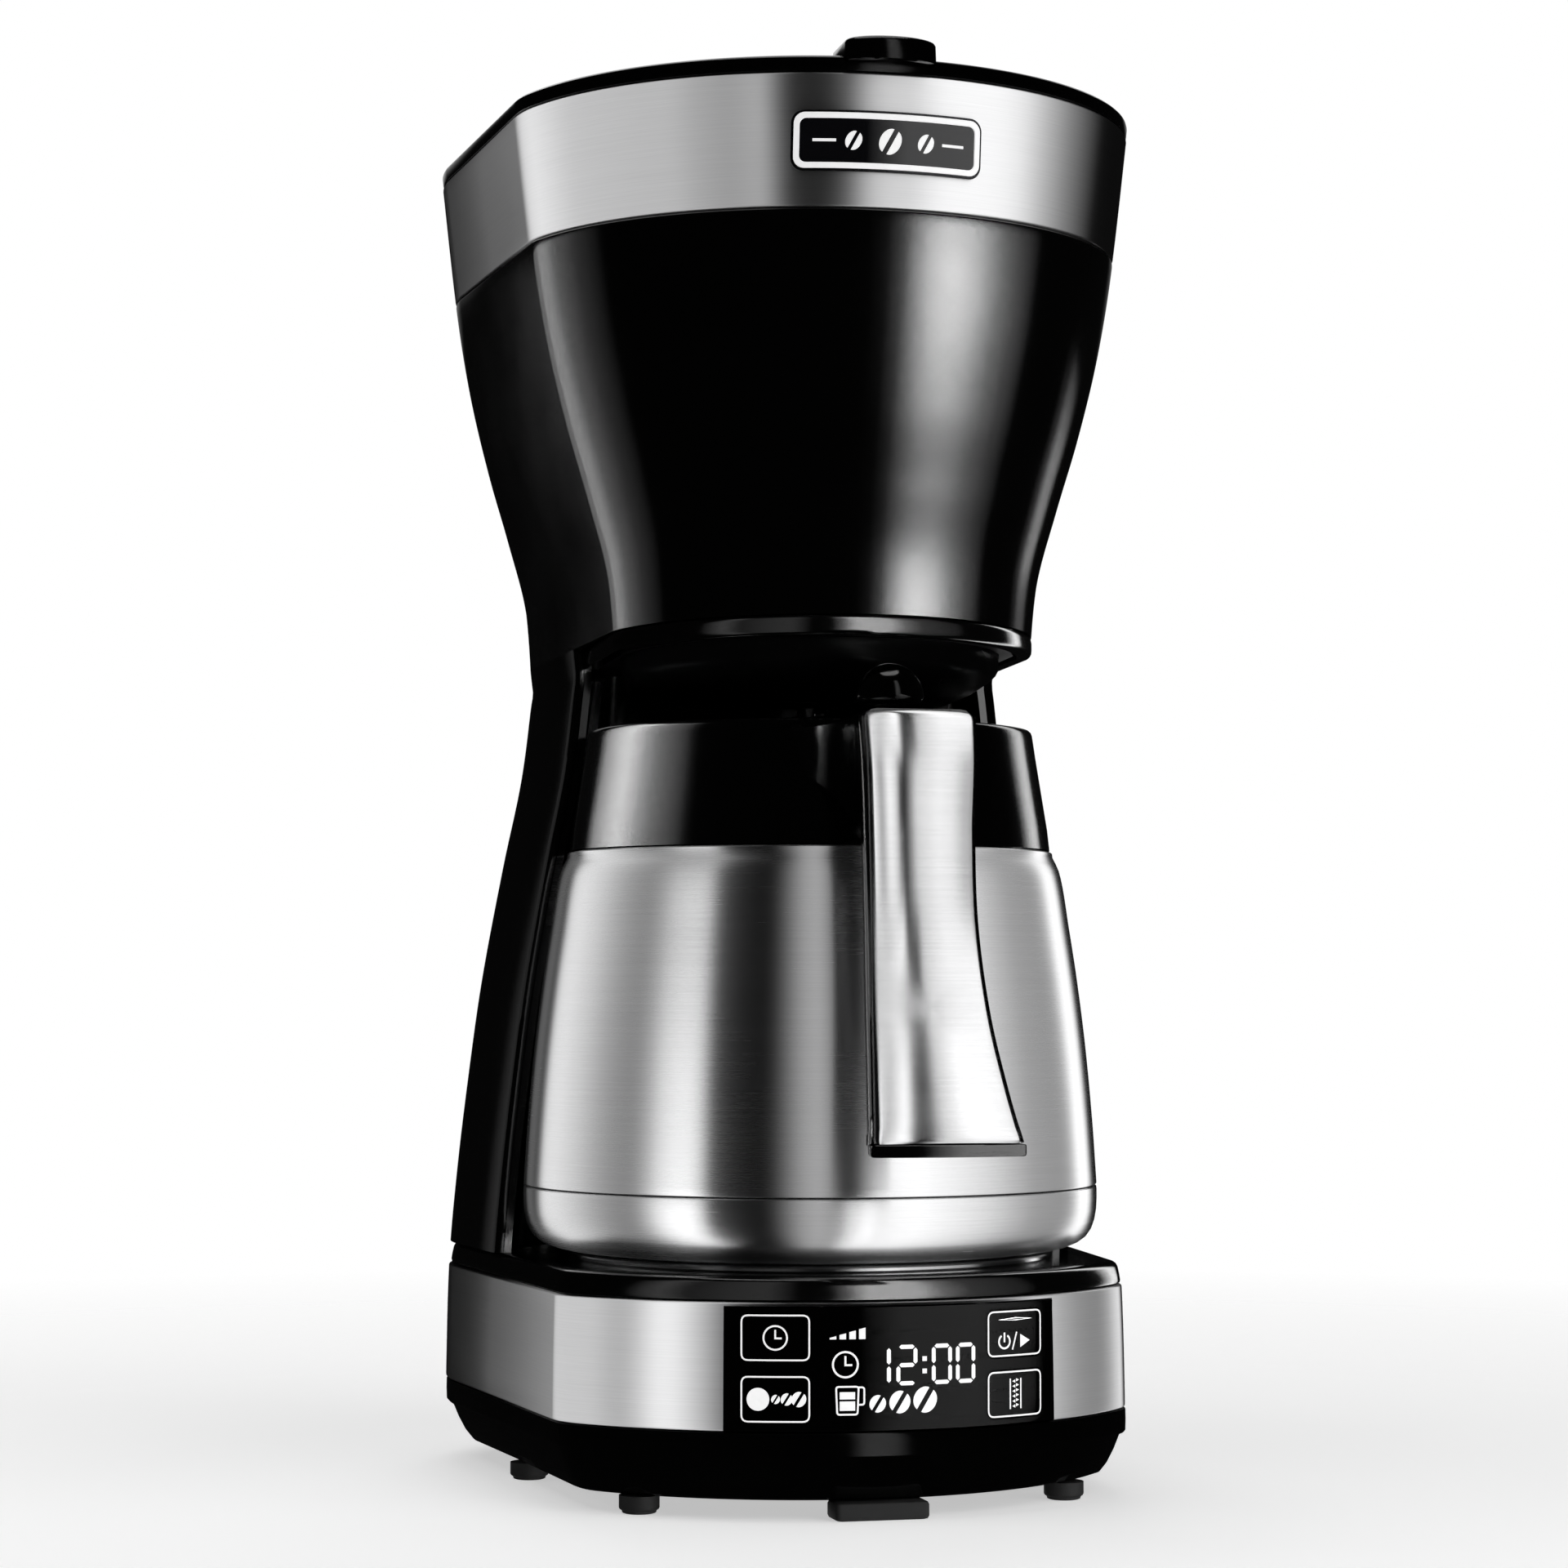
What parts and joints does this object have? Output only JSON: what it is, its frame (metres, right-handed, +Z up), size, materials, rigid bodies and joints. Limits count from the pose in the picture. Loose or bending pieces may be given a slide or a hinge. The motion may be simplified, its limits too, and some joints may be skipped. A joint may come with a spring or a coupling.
{
  "type": "drip coffee maker",
  "caption": "Drip coffee maker with an hourglass body, steel bands, hinged lid, clock panel, and a steel thermal carafe with an open handle.",
  "frame": {"origin": "on the table, under the middle of the machine's box", "axes": "+Z up, -Y towards the person using it, +X to their right"},
  "size_m": [0.1836, 0.2612, 0.3796],
  "materials": {
    "black_gloss": "high gloss moulded",
    "black_satin": "satin moulded",
    "black_plastic": "fine textured moulded",
    "brushed_steel": "fine horizontal brushing",
    "dark_metal": "satin",
    "aluminium": "cast",
    "brass": "plain",
    "rubber": "matt",
    "silicone": "satin",
    "clear_plastic": "translucent",
    "dark_glass": "smoked",
    "filter_mesh": "fine mesh",
    "board": "coated",
    "led": "diffuse"
  },
  "bodies": {
    "machine": {"foot_front_left": "rubber", "foot_front_right": "rubber", "foot_side_left": "rubber", "foot_side_right": "rubber", "foot_front_centre": "rubber", "foot_rear_centre": "rubber", "base_floor": "black_plastic", "base_skirt": "black_gloss", "base_band": "brushed_steel", "base_frame": "black_plastic", "platform_deck": "black_gloss", "carafe_rest_plate": "brushed_steel", "control_panel": "black_gloss", "control_board": "board", "clock_display": "dark_glass", "power_led": "led", "column_shell": "black_gloss", "carafe_bay_wall": "black_gloss", "level_window_left": "clear_plastic", "level_window_right": "clear_plastic", "water_tank": "clear_plastic", "upper_shell": "black_gloss", "upper_band": "brushed_steel", "badge_plate": "dark_metal", "flange_ring": "black_gloss", "brew_funnel": "black_satin", "head_floor": "black_plastic", "filter_holder": "black_satin", "filter_basket": "black_plastic", "permanent_filter": "filter_mesh", "filter_handle": "black_plastic", "shower_head": "black_satin", "riser_tube": "clear_plastic", "top_frame": "black_satin", "rear_top_cover": "black_gloss", "lid_hinge_pin": "brushed_steel", "drip_stop_spring": "brushed_steel", "flow_heater": "aluminium", "thermostat": "brass", "outlet_hose": "silicone", "inlet_hose": "silicone", "check_valve": "black_plastic", "cord_gland": "rubber"},
    "top_lid": {"top_lid": "black_gloss"},
    "drip_stop": {"drip_stop_valve": "black_satin"},
    "carafe": {"carafe_shell": "brushed_steel", "carafe_base_cup": "brushed_steel", "carafe_liner": "brushed_steel", "carafe_collar": "black_gloss", "handle_cover": "brushed_steel", "handle_frame": "black_gloss", "handle_end_cap": "black_gloss"},
    "carafe_lid": {"carafe_lid": "black_satin", "lid_seal": "silicone", "lever_pin": "brushed_steel"},
    "pour_lever": {"pour_lever": "black_gloss"},
    "clock_key": {"key_clock": "black_gloss"},
    "strength_key": {"key_strength": "black_gloss"},
    "power_key": {"key_power": "black_gloss"},
    "descale_key": {"key_descale": "black_gloss"}
  },
  "joints": [
    {"name": "lid_hinge", "type": "hinge", "parent": "machine", "child": "top_lid", "pos_m": [0, 0.1166, 0.3729], "axis": [-1, 0, 0], "range_deg": [0, 95]},
    {"name": "carafe_slide_out", "type": "slide", "parent": "machine", "child": "carafe", "axis": [0, -1, 0], "range_m": [0, 0.2]},
    {"name": "carafe_lid_twist", "type": "hinge", "parent": "carafe", "child": "carafe_lid", "pos_m": [0, 0.0106, 0.2062], "axis": [0, 0, 1], "range_deg": [0, 60]},
    {"name": "pour_lever_press", "type": "hinge", "parent": "carafe_lid", "child": "pour_lever", "pos_m": [0, -0.0234, 0.2083], "axis": [1, 0, 0], "range_deg": [0, 2.5], "stiffness_Nm_per_rad": 0.05, "springref_deg": -11.46},
    {"name": "drip_stop_lift", "type": "slide", "parent": "machine", "child": "drip_stop", "axis": [0, 0, 1], "range_m": [0, 0.003], "stiffness_N_per_m": 200, "deforming": ["drip_stop_spring"]},
    {"name": "clock_key_press", "type": "slide", "parent": "machine", "child": "clock_key", "axis": [0.2957, 0.9553, 0], "range_m": [0, 0.0006], "stiffness_N_per_m": 600},
    {"name": "strength_key_press", "type": "slide", "parent": "machine", "child": "strength_key", "axis": [0.2957, 0.9553, 0], "range_m": [0, 0.0006], "stiffness_N_per_m": 600},
    {"name": "power_key_press", "type": "slide", "parent": "machine", "child": "power_key", "axis": [-0.3795, 0.9252, 0], "range_m": [0, 0.0006], "stiffness_N_per_m": 600},
    {"name": "descale_key_press", "type": "slide", "parent": "machine", "child": "descale_key", "axis": [-0.3795, 0.9252, 0], "range_m": [0, 0.0006], "stiffness_N_per_m": 600}
  ]
}
